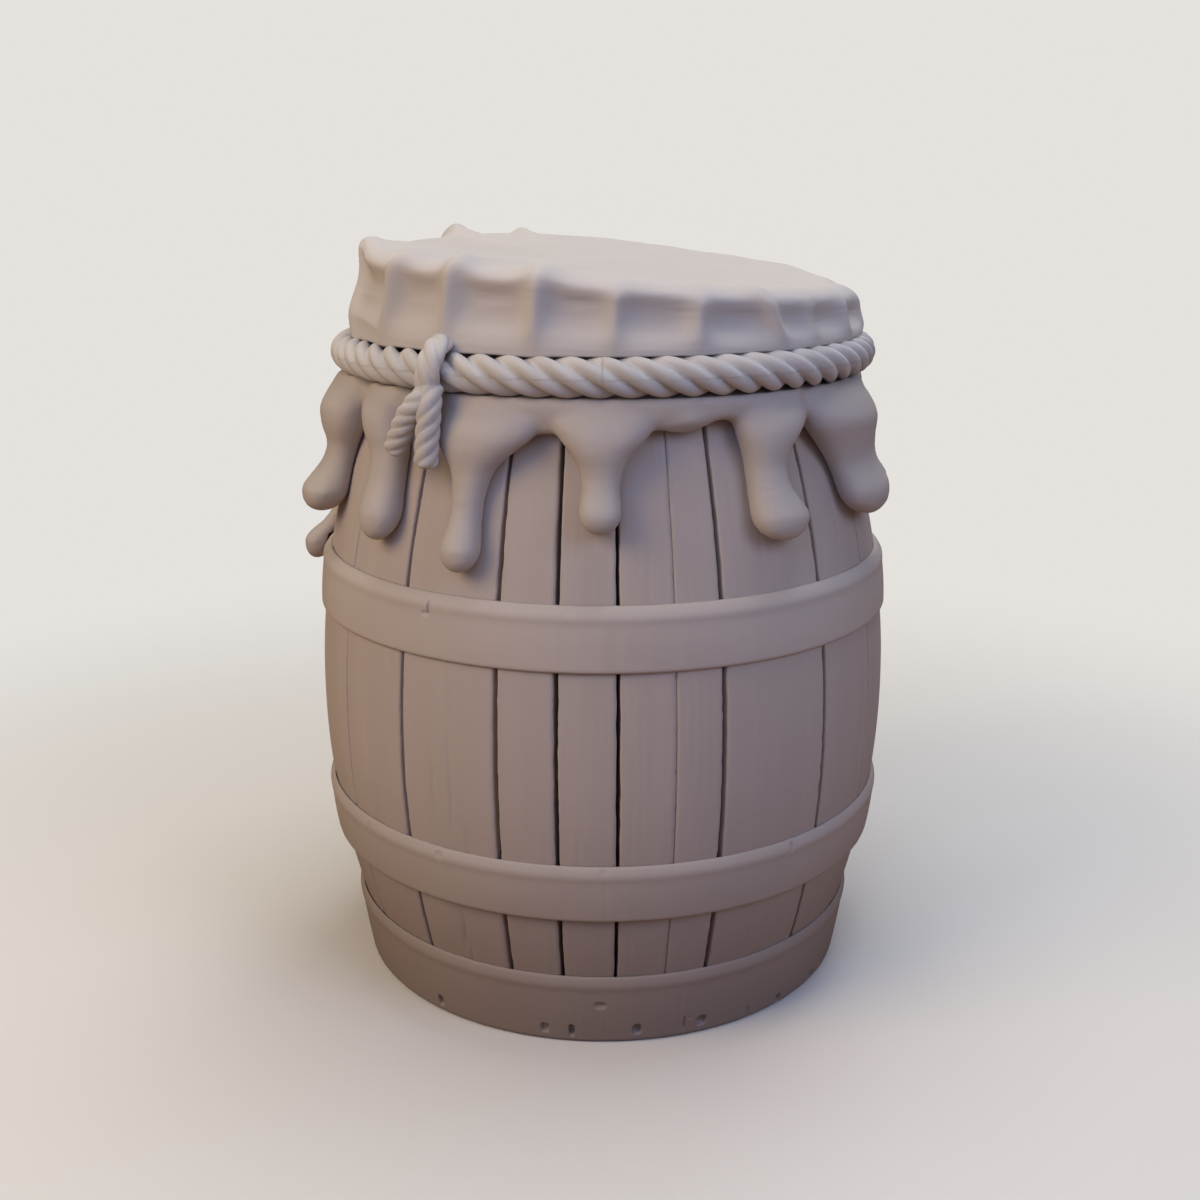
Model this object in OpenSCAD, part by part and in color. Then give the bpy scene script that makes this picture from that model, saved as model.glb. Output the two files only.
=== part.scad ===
// Wooden keg with hooped staves, a tied cloth cover and a run-down wax seal.
// Millimetres, +Z up, origin at the centre of the base, -Y is the front.
// Angles are in degrees and are counted from the front towards +X.

/* [Staves] */
// Outer radius of the keg at its belly
belly_r = 183; // [176:0.5:190]
// Height of the belly above the floor
belly_z = 183; // [175:1:191]
// Radius of the lengthwise bow of every stave
bow_r = 510; // [495:5:530]
// Length of the staves, floor to mouth
stave_len = 418; // [412:1:424]
// Thickness of a stave
stave_t = 15; // [13:0.5:17]
// Height up to which the staves run straight, below the bow
chime_z = 43; // [38:1:46]
// Outer radius of the staves at the floor
foot_r = 155.5; // [154:0.5:157]
// Width of an open seam between two staves, at the belly
seam_w = 0.8; // [0.5:0.1:0.9]
// Height of the groove that holds the bottom head
croze_z = 26; // [22:1:30]
// Depth of that groove
croze_depth = 5; // [4:0.5:6]

/* [Hoops] */
// Thickness of a hoop at the edge that faces the belly
hoop_t_wide = 2.6; // [2.2:0.1:3]
// Thickness of a hoop at the edge that faces away from the belly
hoop_t_narrow = 4.2; // [3.8:0.1:4.6]
// Height of the rounded edge of a hoop
hoop_edge = 5.5; // [4:0.5:7]
// Height of the bottom hoop
bottom_hoop_h = 47.5; // [44:0.5:51]
// Height of the lower middle hoop above the floor
low_hoop_z = 89.5; // [84:0.5:95]
// Width of the lower middle hoop
low_hoop_h = 36.6; // [33:0.2:40]
// Distance from the mouth down to the upper middle hoop
up_hoop_drop = 140; // [136:0.5:144]
// Width of the upper middle hoop
up_hoop_h = 37.2; // [34:0.2:40]
// Distance from the mouth down to the top hoop
top_hoop_drop = 4; // [3:0.5:5]
// Width of the top hoop
top_hoop_h = 30; // [28:0.5:31]
// Clearance between a hoop and the staves
hoop_fit = 0.3; // [0.2:0.05:0.4]
// Length of the riveted lap of a hoop, at the back
lap_len = 46; // [40:1:52]
// Extra thickness of the lap
lap_t = 1.2; // [1:0.1:1.4]
// Radius of a rivet's shank
rivet_r = 2.5; // [2:0.1:3]
// Radius of a rivet's head
rivet_head_r = 5; // [4.5:0.1:6]
// Height of a rivet's head
rivet_head_h = 1.8; // [1.4:0.1:2.2]

/* [Bottom head] */
// Thickness of the bottom boards
head_t = 14; // [12:0.5:16]
// Clearance of the bottom head in its groove
head_fit = 0.3; // [0.2:0.05:0.5]
// Gap between two neighbouring boards, in the bottom and in the lid
plank_gap = 0.2; // [0.1:0.05:0.4]
// Radius of a dowel between two bottom boards
dowel_r = 4; // [3:0.5:5]
// Length of a dowel
dowel_len = 30; // [24:1:36]

/* [Lid] */
// How far the plank lid stands out beyond the mouth
lid_brim = 19.4; // [17:0.2:19.8]
// Gap that seats the lid on the mouth
lid_seat = 0.1; // [0.05:0.05:0.3]
// Thickness of the lid boards
lid_t = 14; // [12:0.5:16]
// Room between the ends of a batten and the inside of the mouth
batten_room = 11.6; // [8:0.2:16]
// Width of a batten
batten_w = 30; // [26:1:34]
// Thickness of a batten
batten_t = 13; // [11:0.5:15]
// Place of a batten between the lid's middle and the inside of the mouth
batten_share = 0.416; // [0.38:0.01:0.45]
// Radius of a nail's shank
nail_r = 1.6; // [1.2:0.1:2]
// Radius of a nail's head
nail_head_r = 4; // [3.5:0.1:4.5]
// Height of a nail's head
nail_head_h = 1.5; // [1:0.1:2]

/* [Cloth cover] */
// Thickness of the cover
cloth_t = 3; // [2.5:0.1:3.4]
// Gap between the cover and the lid where it lies lowest
cloth_seat = 0.9; // [0.7:0.1:1]
// How far a pleat of the cover's side stands out beyond the lid
cover_ease = 12; // [10.5:0.5:14]
// How much the cover stands higher on the left than in the middle
cover_lean = 13; // [11:0.5:15]
// How much it stands higher at the back than in the middle
cover_back = 5; // [3:0.5:7]
// How much the front and back stand over the sides
cover_saddle = 3; // [2:0.5:4]
// Depth of the valleys between the pleats
pleat_depth = 4.5; // [3.5:0.5:5]
// Height of the tallest pleat horn on the rim
horn_h = 9; // [7:0.5:11]
// Play between the cloth, where it is tied in, and the top hoop
cinch_slack = 4.4; // [3.8:0.1:5.5]
// Length of cloth below the middle of the rope
hem_drop = 7; // [6:0.5:8]

/* [Rope] */
// Diameter of the rope
rope_d = 22; // [20:0.5:24]
// Distance from the mouth down to the middle of the rope
rope_drop = 19.5; // [18:0.5:21]
// Width of the rope's knot, and diameter of its two tails
tail_d = 13; // [12:0.5:14]
// Thickness of the knot where it is drawn flat over the rope
knot_t = 7; // [6:0.5:8]
// Length of the left tail
tail_left_len = 34; // [28:1:38]
// Length of the right tail
tail_right_len = 42; // [36:1:46]
// Clearance between rope, cloth and knot
lay_gap = 0.3; // [0.2:0.05:0.4]

/* [Wax] */
// Height of the wax collar under the rope
collar_h = 20; // [18:0.5:22]
// Bulge of the collar beyond the staves
collar_bulge = 17; // [15:0.5:19]
// Clearance between the wax and what it lies on
wax_gap = 0.3; // [0.2:0.05:0.4]
// Thickness of a run at its bulb
bulb_t = 20; // [18:0.5:22]

/* [Hidden] */
// Widths of the staves round the keg, as shares of the whole turn
stave_shares = [61, 65, 35, 35, 33, 28.5, 75, 58, 48, 61, 54,
                45, 64, 51, 57, 48, 61, 54, 51, 64, 45, 57];
// Where the first seam lies
first_seam_angle = -58.7;
stave_n = len(stave_shares);
full_angle = 360;
stave_steps = 12;
hoop_steps = 3;
// Places of the bottom boards' joints, as shares of the head's radius
board_shares = [-1, -0.62, -0.2, 0.22, 0.6, 1];
// Places of the lid boards' joints, as shares of the lid's radius
plank_shares = [-1, -0.58, -0.22, 0.2, 0.62, 1];
// Two dowels a joint, as shares of the joint's half length
dowel_shares = [-0.55, 0.5];
// A hoop's rounded edge, out along its thickness and down along its height
edge_out_shares = [0.25, 0.6, 0.88, 1];
edge_down_shares = [0, 0.12, 0.45, 1];
// Roundness of the edge that faces the floor, beside the upper one
under_edge_share = 0.35;
// Pleats of the cover: where each stands, and its horn's share of horn_h
pleat_angles = [-88, -69, -55, -35, -13.5, 3, 24, 38, 63, 80, 101, 121,
            141, 161, 180, 203, 224, 248];
horn_shares = [0.35, 1, 0.35, 0.5, 0.4, 0.15, 0.1, 0.35, 0.2, 0.35, 0.2, 0.25,
               0.15, 0.2, 0.3, 0.7, 0.9, 0.35];
pleat_half_angle = 4.5;
// The runs: where each starts and ends, in degrees, then shares
run_top_angles = [-93, -74, -53.5, -26, 0, 35.5, 58.5, 96, 128, 163, 203, 238];
run_tip_angles = [-93, -70, -46, -26.6, -0.5, 34.5, 63, 98, 127, 165, 201, 239];
// Fall of each run as a share of the fall down to the upper middle hoop
fall_shares = [0.985, 0.545, 0.58, 0.68, 0.46, 0.545, 0.535, 0.6, 0.42, 0.64, 0.5, 0.59];
// Widths of the runs, as shares of one width that follows the keg's radius
run_w_share = 0.1347;
shoulder_shares = [1.2, 3.5, 2, 2.7, 2.6, 2.4, 3.3, 2.6, 2.2, 2.9, 2.4, 2.8];
neck_shares = [0.6, 3.1, 1.7, 0.95, 1.1, 1.35, 2.8, 1.2, 1, 1.3, 1.1, 1.3];
bulb_shares = [1.35, 3.1, 1.9, 1.12, 1.12, 1.87, 2.8, 1.5, 1.25, 1.46, 1.38, 1.6];
// Rings of a run: their place down it, and how much of shoulder, bulb and width
ring_shares = [0, 0.12, 0.26, 0.42, 0.58, 0.7, 0.8, 0.88, 0.94, 0.985];
top_part_shares = [1, 0.72, 0.36, 0.1, 0, 0, 0, 0, 0, 0];
bulb_part_shares = [0, 0, 0, 0.05, 0.3, 0.7, 1, 1, 1, 1];
round_shares = [1, 1, 1, 1, 1, 1, 1, 0.93, 0.76, 0.42];
// Thickness of each run, as a share of bulb_t
run_t_shares = [0.63, 1.25, 0.97, 0.9, 0.9, 1, 1.05, 1.3, 0.83, 0.95, 0.9, 1];
// Thickness of a run from its top to its tip, as shares of its bulb's
thick_shares = [0.85, 0.95, 0.85, 0.72, 0.75, 0.9, 1, 0.93, 0.76, 0.42];
run_sides = 12;
// Fine steps for round solids
$fn = 96;
over = 1;
pin_fit = 0.05;
// Gap that seats a rivet's flat head on the curved hoop
rivet_seat = 0.3;

// Outer radius of the staves at height z: straight at the foot, an arc above
function bow_at(z) = belly_r - bow_r + sqrt(bow_r * bow_r - (z - belly_z) * (z - belly_z));
function stave_at(z) = z < chime_z
    ? foot_r + (bow_at(chime_z) - foot_r) * z / chime_z : bow_at(z);
function total(list, n) = n == 0 ? 0 : list[n - 1] + total(list, n - 1);
function seam_at(i) = first_seam_angle + full_angle * total(stave_shares, i) / total(stave_shares, stave_n);
// Turns an angle from the front into the usual one from +X
function turn(a) = a - 90;
function at(a, r, z) = [r * cos(turn(a)), r * sin(turn(a)), z];

seam_angle = seam_w / belly_r * 180 / PI;
stave_z = [for (i = [0 : stave_steps]) chime_z + (stave_len - chime_z) * i / stave_steps];
mouth_r = stave_at(stave_len) - stave_t;
lid_r = mouth_r + stave_t + lid_brim;
batten_y = mouth_r * batten_share;
batten_len = 2 * sqrt(pow(mouth_r - batten_room, 2) - pow(batten_y + batten_w / 2, 2));
cover_r = lid_r + cover_ease;
head_r = stave_at(croze_z) - stave_t + croze_depth - head_fit;
croze_h = head_t + 2 * head_fit;
top_hoop_z = stave_len - top_hoop_drop - top_hoop_h;
lid_low = stave_len + lid_seat;
lid_top = lid_low + lid_t;
up_hoop_z = stave_len - up_hoop_drop - up_hoop_h;
rope_z = stave_len - rope_drop;
cinch_r = stave_at(rope_z) + hoop_fit + hoop_t_narrow + cinch_slack + cloth_t;
rope_r = cinch_r + lay_gap + rope_d / 2;
cover_mid = lid_top + cloth_seat + cloth_t + cover_lean + cover_saddle;
wax_top = top_hoop_z - wax_gap;
wax_low = rope_z - rope_d / 2 - collar_h;
run_w = stave_at(wax_low) * run_w_share;
// The knot goes over the rope's front, from above its middle to below it
knot_angle = -33.6;
knot_low_angle = 40;
knot_high_angle = 58;
knot_r = rope_d / 2 + lay_gap + knot_t / 2;
// The tails hang clear of the wax, just below the outer corner of the knot's end
knot_end_r = rope_r + (knot_r + knot_t / 2) * cos(knot_low_angle);
knot_end_z = rope_z - (knot_r + knot_t / 2) * sin(knot_low_angle);
tail_r = stave_at(wax_low) + wax_gap + collar_bulge + tail_d * 0.8;
tail_reach = tail_d / 2 + lay_gap;
tail_z = knot_end_z - sqrt(max(0, tail_reach * tail_reach - pow(tail_r - knot_end_r, 2)));

STAVES = [for (i = [1 : stave_n]) str("stave_", i < 10 ? "0" : "", i)];
BOARDS = [for (i = [1 : len(board_shares) - 1]) str("bottom_board_", i)];
PLANKS = [for (i = [1 : len(plank_shares) - 1]) str("lid_board_", i)];
RUNS = [for (i = [1 : len(run_top_angles)]) str("wax_run_", i < 10 ? "0" : "", i)];

// One stave: its bowed section turned through its own share of the circle
module stave(i) {
    outer = concat([[foot_r, 0]], [for (z = stave_z) [stave_at(z), z]]);
    inner = [for (k = [stave_steps : -1 : 0]) [stave_at(stave_z[k]) - stave_t, stave_z[k]]];
    low_r = stave_at(croze_z) - stave_t;
    top_r = stave_at(croze_z + croze_h) - stave_t;
    groove = [[top_r, croze_z + croze_h], [low_r + croze_depth, croze_z + croze_h],
              [low_r + croze_depth, croze_z], [low_r, croze_z]];
    color(i % 3 == 0 ? "#b3a69c" : i % 3 == 1 ? "#a99b91" : "#aea197")
    rotate([0, 0, turn(seam_at(i)) + seam_angle / 2])
    rotate_extrude(angle = seam_at(i + 1) - seam_at(i) - seam_angle)
    polygon(concat(outer, inner, groove, [[foot_r - stave_t, 0]]));
}

// The strip between two joints of a round head or lid
module strip(shares, i, radius, thick) {
    intersection() {
        cylinder(r = radius, h = thick);
        translate([shares[i] * radius + plank_gap / 2, -radius - over, -over])
        cube([(shares[i + 1] - shares[i]) * radius - plank_gap, 2 * (radius + over),
              thick + 2 * over]);
    }
}

// The places of the dowels, two to each joint of the bottom head
module dowels(extra) {
    for (j = [1 : len(board_shares) - 2]) for (k = dowel_shares) {
        half = head_r * sqrt(1 - board_shares[j] * board_shares[j]);
        translate([board_shares[j] * head_r - dowel_len / 2 - extra, k * half,
                   croze_z + head_fit + head_t / 2])
        rotate([0, 90, 0]) cylinder(r = dowel_r + extra, h = dowel_len + 2 * extra, $fn = 32);
    }
}

module bottom_board(i) {
    color("#9d9086") difference() {
        translate([0, 0, croze_z + head_fit]) strip(board_shares, i, head_r, head_t);
        dowels(pin_fit);
    }
}

module bottom_dowels() { color("#c4b7a9") dowels(0); }

// Outside of a hoop from its high edge z1 down to z0, thicker away from the belly
function hoop_outside(z0, z1, t0, t1) = let (n = len(edge_out_shares) - 1) concat(
    [for (k = [0 : n]) let (z = z1 - hoop_edge * edge_down_shares[k])
        [stave_at(z) + hoop_fit + t1 * edge_out_shares[k], z]],
    [for (k = [n : -1 : 0]) let (z = z0 + hoop_edge * under_edge_share * edge_down_shares[k])
        [stave_at(z) + hoop_fit + t0 * edge_out_shares[k], z]]);
// Inside of a hoop from z0 up to z1, in a few straight steps along the staves' bow
function hoop_inside(z0, z1) = [for (k = [0 : hoop_steps])
    let (z = z0 + (z1 - z0) * k / hoop_steps) [stave_at(z) + hoop_fit, z]];

// A rivet's own frame, on the outside of the lap at the back and square to it
module at_rivet(z0, z1, t0, t1, side) {
    outside = hoop_outside(z0, z1, t0 + lap_t, t1 + lap_t);
    high = outside[len(edge_out_shares) - 1];
    low = outside[len(edge_out_shares)];
    mid = (high + low) / 2;
    back = 180 + side * lap_len / 4 / mid[0] * 180 / PI;
    rotate([0, 0, turn(back)]) translate([mid[0], 0, mid[1]])
    rotate([0, 90 + atan2(high[0] - low[0], high[1] - low[1]), 0]) children();
}

// A hoop is turned at its lap's thickness and cut back everywhere but at the lap
module hoop(z0, z1, t0, t1) {
    lap_angle = lap_len / stave_at(z0) * 180 / PI;
    outside = hoop_outside(z0, z1, t0, t1);
    last = len(outside) - 1;
    far = belly_r + 2 * (hoop_t_narrow + lap_t);
    deep = 2 * (hoop_t_narrow + lap_t);
    color("#8f857d") difference() {
        rotate_extrude() polygon(concat(hoop_inside(z0, z1),
            hoop_outside(z0, z1, t0 + lap_t, t1 + lap_t)));
        rotate([0, 0, turn(180 + lap_angle / 2)]) rotate_extrude(angle = full_angle - lap_angle)
        polygon(concat(outside, [[outside[last][0], z0 - over], [far, z0 - over],
            [far, z1 + over], [outside[0][0], z1 + over]]));
        for (side = [-1, 1]) at_rivet(z0, z1, t0, t1, side)
        translate([0, 0, -deep]) cylinder(r = rivet_r + pin_fit, h = 2 * deep, $fn = 32);
    }
}

module rivet(z0, z1, t0, t1, side) {
    shank = (t0 + t1) / 2 + lap_t - hoop_fit;
    at_rivet(z0, z1, t0, t1, side) {
        translate([0, 0, -shank]) cylinder(r = rivet_r, h = shank + rivet_seat, $fn = 32);
        translate([0, 0, rivet_seat]) {
            cylinder(r = rivet_head_r, h = rivet_head_h / 2, $fn = 32);
            translate([0, 0, rivet_head_h / 2])
            cylinder(r1 = rivet_head_r, r2 = rivet_head_r / 2, h = rivet_head_h / 2, $fn = 32);
        }
    }
}

// The four hoops as rows of low edge, high edge, low thickness, high thickness
hoops = [[0, bottom_hoop_h, hoop_t_narrow, hoop_t_wide],
         [low_hoop_z, low_hoop_z + low_hoop_h, hoop_t_narrow, hoop_t_wide],
         [up_hoop_z, up_hoop_z + up_hoop_h, hoop_t_wide, hoop_t_narrow],
         [top_hoop_z, top_hoop_z + top_hoop_h, hoop_t_wide, hoop_t_narrow]];
module hoop_no(i) { hoop(hoops[i][0], hoops[i][1], hoops[i][2], hoops[i][3]); }

module hoop_rivets() {
    color("#6f665f") for (h = hoops, side = [-1, 1]) rivet(h[0], h[1], h[2], h[3], side);
}

// The places of the nails: one in each plank over each batten
module nails(extra, deep) {
    for (i = [0 : len(plank_shares) - 2]) for (y = [-batten_y, batten_y]) {
        x = (plank_shares[i] + plank_shares[i + 1]) / 2 * lid_r;
        // Outer nails stand in from the batten's end
        place = max(-batten_len / 2 + nail_head_r, min(batten_len / 2 - nail_head_r, x));
        translate([place, y, lid_top - deep]) {
            cylinder(r = nail_r + extra, h = deep, $fn = 32);
            translate([0, 0, deep - nail_head_h - extra])
            cylinder(r = nail_head_r + extra, h = nail_head_h + extra, $fn = 32);
        }
    }
}
nail_len = lid_t + batten_t * 0.7;

module lid_board(i) {
    color("#a3968b") difference() {
        translate([0, 0, lid_low]) strip(plank_shares, i, lid_r, lid_t);
        nails(pin_fit, nail_len + over);
    }
}

module lid_batten(y) {
    color("#958980") difference() {
        translate([-batten_len / 2, y - batten_w / 2, lid_low - batten_t])
        cube([batten_len, batten_w, batten_t]);
        nails(pin_fit, nail_len + pin_fit);
    }
}

module lid_nails() { color("#6f665f") nails(0, nail_len); }

// Height of the cover's rim at an angle, and the surface inside it
function rim_at(a) = cover_mid - cover_lean * sin(a) - cover_back * cos(a)
    + cover_saddle * cos(2 * a);
function top_at(a, s) = cover_mid - cover_lean * s * sin(a) - cover_back * s * cos(a)
    + cover_saddle * s * s * cos(2 * a);

// Columns of the cover: two flanks and a crest for each pleat, and a valley
cloth_columns = [for (i = [0 : len(pleat_angles) - 1])
    let (next = i == len(pleat_angles) - 1 ? pleat_angles[0] + full_angle : pleat_angles[i + 1])
    each [[pleat_angles[i] - pleat_half_angle, 0.45, horn_shares[i] * 0.3],
          [pleat_angles[i], 1, horn_shares[i]],
          [pleat_angles[i] + pleat_half_angle, 0.45, horn_shares[i] * 0.3],
          [(pleat_angles[i] + next) / 2, 0, 0]]];
// Rows from the middle of the top, over the rim and down the side to the hem:
// radius as a share of cover_r, depth below the rim as a share of the side,
// share of the pleat depth that shows, and share of the horn. The first two
// rows lie on the top, and the last three have their heights from the rope.
row_r_shares = [0.45, 0.82, 0.955, 1, 1, 1, 0, 0];
row_z_shares = [0, 0, 0, 0.11, 0.36, 0, 0, 0];
row_pleat_shares = [0, 0.3, 1, 1, 1.1, 0.5, 0.35, 0.5];
row_horn_shares = [0, 0.2, 1, 0.7, 0.1, 0, 0, 0];
// How far over the rope's middle the cloth turns in, and where it meets the rope
tuck_share = 0.62;
cinch_share = 0.3;
cloth_rows = len(row_r_shares);
function cloth_r(k, c) = k < cloth_rows - 2
    ? cover_r * row_r_shares[k] - pleat_depth * (1 - c[1]) * row_pleat_shares[k]
    : cinch_r - pleat_depth * (1 - c[1]) * 0.25 * row_pleat_shares[k];
function cloth_z(k, c) = k < 2 ? top_at(c[0], row_r_shares[k]) + horn_h * c[2] * row_horn_shares[k]
    : k < cloth_rows - 3
    ? rim_at(c[0]) + horn_h * c[2] * row_horn_shares[k]
      - (rim_at(c[0]) - rope_z) * row_z_shares[k]
    : k == cloth_rows - 3 ? rope_z + rope_d * tuck_share
    : k == cloth_rows - 2 ? rope_z + rope_d * cinch_share : rope_z - hem_drop;
// The inside follows the outside at the cloth's thickness, from hem to middle
function lining_r(k, c) = cloth_r(k, c) - (k < 2 ? 0 : k == 2 ? cloth_t * 0.6 : cloth_t);
function lining_z(k, c) = cloth_z(k, c) - (k < 3 ? cloth_t : k == 3 ? cloth_t * 0.6 : 0);

// Faces of a closed skin of rings, each of n points, with a point at both ends
function skin_faces(n, rings) = concat(
    [for (j = [0 : n - 1]) [0, 1 + (j + 1) % n, 1 + j]],
    [for (k = [0 : rings - 2], j = [0 : n - 1]) let (a = 1 + k * n + j,
        b = 1 + k * n + (j + 1) % n) each [[a, b, b + n], [a, b + n, a + n]]],
    [for (j = [0 : n - 1]) let (a = 1 + (rings - 1) * n)
        [a + j, a + (j + 1) % n, 1 + rings * n]]);

module cloth_cover() {
    rows = cloth_rows - 1;
    outer = [for (k = [0 : rows], c = cloth_columns) at(c[0], cloth_r(k, c), cloth_z(k, c))];
    lining = [for (k = [rows : -1 : 0], c = cloth_columns)
        at(c[0], lining_r(k, c), lining_z(k, c))];
    points = concat([[0, 0, top_at(0, 0)]], outer, lining, [[0, 0, top_at(0, 0) - cloth_t]]);
    color("#d9d2cc") polyhedron(points, skin_faces(len(cloth_columns), 2 * cloth_rows));
}

module rope() {
    color("#c9bfb5") translate([0, 0, rope_z]) rotate_extrude() translate([rope_r, 0])
    circle(d = rope_d, $fn = 48);
}

// The knot: a bight of the rope's end over the front of the loop
module rope_knot() {
    color("#bfb4a9") rotate([0, 0, turn(knot_angle)]) translate([rope_r, 0, rope_z])
    rotate([90, 0, 0]) rotate([0, 0, -knot_low_angle])
    rotate_extrude(angle = knot_low_angle + knot_high_angle) translate([knot_r, 0]) {
        square([knot_t, tail_d - knot_t], center = true);
        for (side = [-1, 1]) translate([0, side * (tail_d - knot_t) / 2])
        circle(d = knot_t, $fn = 32);
    }
}

// A tail hangs from just below the knot's end and leans to its own side
module rope_tail(side, lean, length) {
    a = knot_angle + side * (tail_d + lay_gap) / 2 / tail_r * 180 / PI;
    head = at(a, tail_r, tail_z);
    color("#c4b9ae") translate(head) rotate([0, 0, turn(a)]) rotate([lean, 0, 0]) {
        translate([0, 0, -length]) cylinder(d = tail_d, h = length, $fn = 32);
        for (z = [-length, 0]) translate([0, 0, z]) sphere(d = tail_d, $fn = 32);
    }
}

// Section of the collar: from the staves out under the rope and back below it
module wax_collar() {
    inner_top = stave_at(wax_top) + wax_gap;
    inner_low = stave_at(wax_low) + wax_gap;
    under = rope_z - rope_d / 2 - wax_gap;
    color("#cfc6bf") rotate_extrude() polygon([
        [inner_low, wax_low],
        [stave_at((wax_top + wax_low) / 2) + wax_gap, (wax_top + wax_low) / 2],
        [inner_top, wax_top],
        [stave_at(top_hoop_z) + hoop_fit + hoop_t_wide + lap_t + wax_gap, wax_top],
        [cinch_r, under - wax_gap], [rope_r, under],
        [inner_low + collar_bulge * 0.9, under - collar_h * 0.15],
        [inner_low + collar_bulge, wax_low + collar_h * 0.5],
        [inner_low + collar_bulge * 0.9, wax_low]]);
}

// Radius of what a run lies on: the staves, or the hoop where it hangs over it
function bed_at(z) = z < up_hoop_z + up_hoop_h + bulb_t
    ? max(stave_at(z), stave_at(up_hoop_z) + hoop_fit + hoop_t_wide) : stave_at(z);
module wax_run(i) {
    fall = (wax_low - up_hoop_z - up_hoop_h / 2) * fall_shares[i];
    n = run_sides;
    function ring(k) = let (
        z = wax_low - fall * ring_shares[k],
        a = run_top_angles[i] + (run_tip_angles[i] - run_top_angles[i]) * ring_shares[k],
        w = run_w / 2 * round_shares[k] * (neck_shares[i]
            + (shoulder_shares[i] - neck_shares[i]) * top_part_shares[k]
            + (bulb_shares[i] - neck_shares[i]) * bulb_part_shares[k]),
        deep = bulb_t / 2 * run_t_shares[i],
        mid = (fall_shares[i] > 0.9 ? bed_at(z) : stave_at(z)) + wax_gap
            + deep * max(thick_shares[k], k > 6 ? 1 : 0),
        t = deep * thick_shares[k])
        [for (j = [0 : n - 1]) let (f = full_angle * j / n, out = mid + t * cos(f),
            side = w * sin(f) / out * 180 / PI) at(a + side, out, z)];
    rings = len(ring_shares);
    top_ring = ring(0);
    first = [for (d = [0 : 2]) total([for (p = top_ring) p[d]], n) / n];
    tip_ring = ring(rings - 1);
    last = [for (d = [0 : 1]) total([for (p = tip_ring) p[d]], n) / n];
    points = concat([first], [for (k = [0 : rings - 1]) each ring(k)],
        [[last[0], last[1], wax_low - fall]]);
    color("#d2c9c2") polyhedron(points, skin_faces(n, rings));
}

for (i = [0 : stave_n - 1]) stave(i);
for (i = [0 : len(BOARDS) - 1]) bottom_board(i);
bottom_dowels();
hoop_no(0);  // bottom_hoop
hoop_no(1);  // lower_middle_hoop
hoop_no(2);  // upper_middle_hoop
hoop_no(3);  // top_hoop
hoop_rivets();
wax_collar();
for (i = [0 : len(RUNS) - 1]) wax_run(i);
for (i = [0 : len(PLANKS) - 1]) lid_board(i);
lid_batten(-batten_y);  // lid_batten_front
lid_batten(batten_y);  // lid_batten_back
lid_nails();
cloth_cover();
rope();
rope_knot();
rope_tail(-1, -9, tail_left_len);  // rope_tail_left
rope_tail(1, 2, tail_right_len);  // rope_tail_right
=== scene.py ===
# Wooden keg with a tied cloth cover and run-down wax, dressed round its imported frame
import math
import bpy
import numpy as np
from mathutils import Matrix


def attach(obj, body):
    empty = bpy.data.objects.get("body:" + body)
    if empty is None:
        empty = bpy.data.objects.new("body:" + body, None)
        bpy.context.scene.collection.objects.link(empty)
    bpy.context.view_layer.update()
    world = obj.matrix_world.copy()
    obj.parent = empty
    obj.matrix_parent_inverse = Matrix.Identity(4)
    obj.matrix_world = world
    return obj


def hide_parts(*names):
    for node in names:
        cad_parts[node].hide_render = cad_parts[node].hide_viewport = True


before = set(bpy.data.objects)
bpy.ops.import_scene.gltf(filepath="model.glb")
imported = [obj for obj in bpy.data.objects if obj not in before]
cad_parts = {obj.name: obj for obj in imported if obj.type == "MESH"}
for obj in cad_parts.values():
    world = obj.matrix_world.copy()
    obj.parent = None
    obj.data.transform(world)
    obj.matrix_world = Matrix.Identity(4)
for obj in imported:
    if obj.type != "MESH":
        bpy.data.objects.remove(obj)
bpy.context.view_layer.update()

mm = 0.001

# ---- camera: as high, as near and as tilted as the photograph's
camera = {"lens": 43.68, "sensor": 36, "place": (-0.00182, -0.92925, 0.49611), "tilt": 74.095}
cameraData = bpy.data.cameras.new("photoCamera")
cameraData.lens = camera["lens"]
cameraData.sensor_width = camera["sensor"]
cameraObject = bpy.data.objects.new("photoCamera", cameraData)
cameraObject.location = camera["place"]
cameraObject.rotation_euler = (math.radians(camera["tilt"]), 0, 0)
bpy.context.scene.collection.objects.link(cameraObject)
bpy.context.scene.camera = cameraObject
print("camera set")


# ---- shader maths: a wire is one socket, and sums of wires add Math nodes
class Wire:
    def __init__(self, finish, socket):
        self.finish, self.socket = finish, socket

    def math(self, operation, *values):
        return self.finish.add("ShaderNodeMath", {"operation": operation}, list(values))

    def __add__(self, other): return self.math("ADD", self, other)
    def __radd__(self, other): return self.math("ADD", other, self)
    def __sub__(self, other): return self.math("SUBTRACT", self, other)
    def __mul__(self, other): return self.math("MULTIPLY", self, other)


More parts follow.
